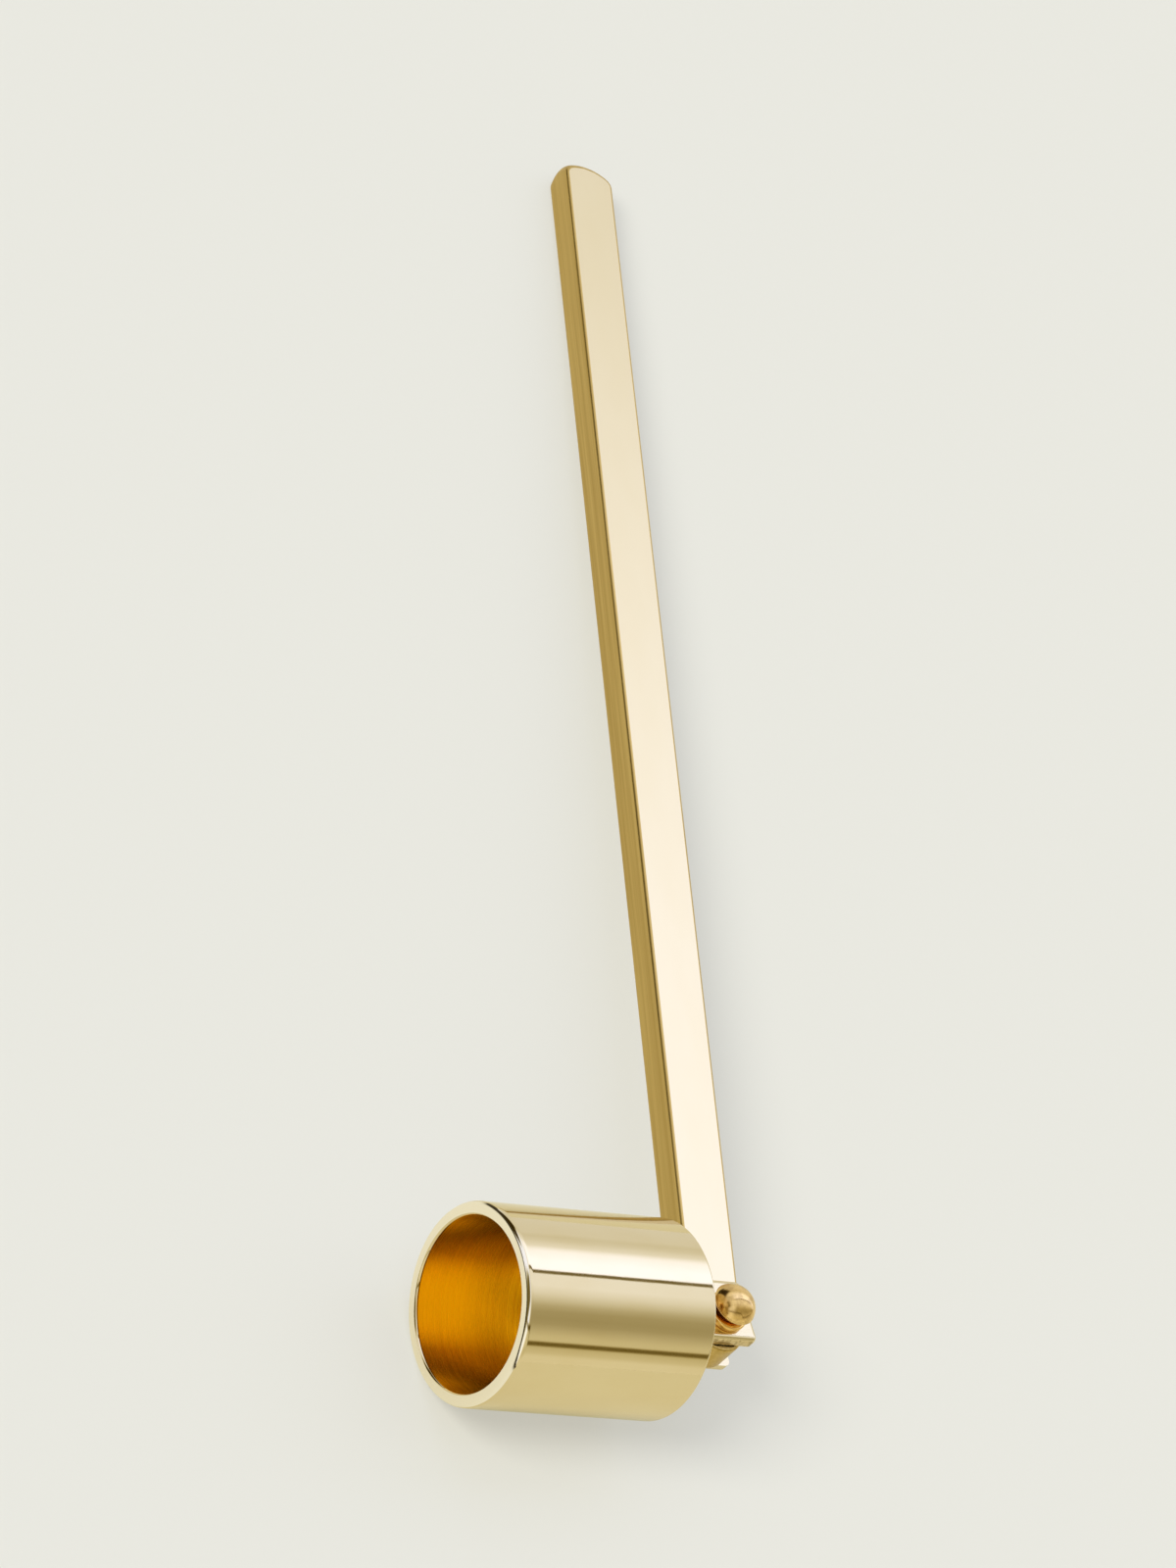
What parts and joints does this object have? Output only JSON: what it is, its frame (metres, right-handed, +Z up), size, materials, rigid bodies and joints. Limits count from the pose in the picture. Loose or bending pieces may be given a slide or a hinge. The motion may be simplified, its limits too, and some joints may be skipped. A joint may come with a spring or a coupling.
{
  "type": "candle snuffer",
  "caption": "Candle snuffer: a plain round metal cup on a slotted fork that tilts on a screw through the end of a long flat bar handle.",
  "frame": {"origin": "centre of the cup's open mouth, in the plane of its rim", "axes": "+X along the cup from its mouth to its closed end, +Y the way the handle points, +Z up as the snuffer lies on a table, with the table 12.5 mm below the origin"},
  "size_m": [0.08, 0.201, 0.025],
  "materials": {
    "handle_brass": "polished pale brass with fine lengthwise streaks",
    "cup_brass": "polished outside, finely turned inside",
    "fork_brass": "polished pale brass",
    "nut_brass": "polished brass gone a little brown and mottled",
    "washer_brass": "bright warm brass",
    "screw_brass": "machined brass"
  },
  "bodies": {
    "handle": {"handle_bar": "handle_brass"},
    "cup": {"snuffer_cup": "cup_brass", "pivot_fork": "fork_brass", "cup_screw": "screw_brass", "pivot_screw": "screw_brass", "nut_washer": "washer_brass", "dome_nut": "nut_brass", "friction_washers": "washer_brass"}
  },
  "joints": [
    {"name": "cup_tilt", "type": "hinge", "parent": "handle", "child": "cup", "pos_m": [0.0364, -0.0008, 0.00004], "axis": [0, 0.0545, 0.9985], "range_deg": [-20, 180]}
  ]
}
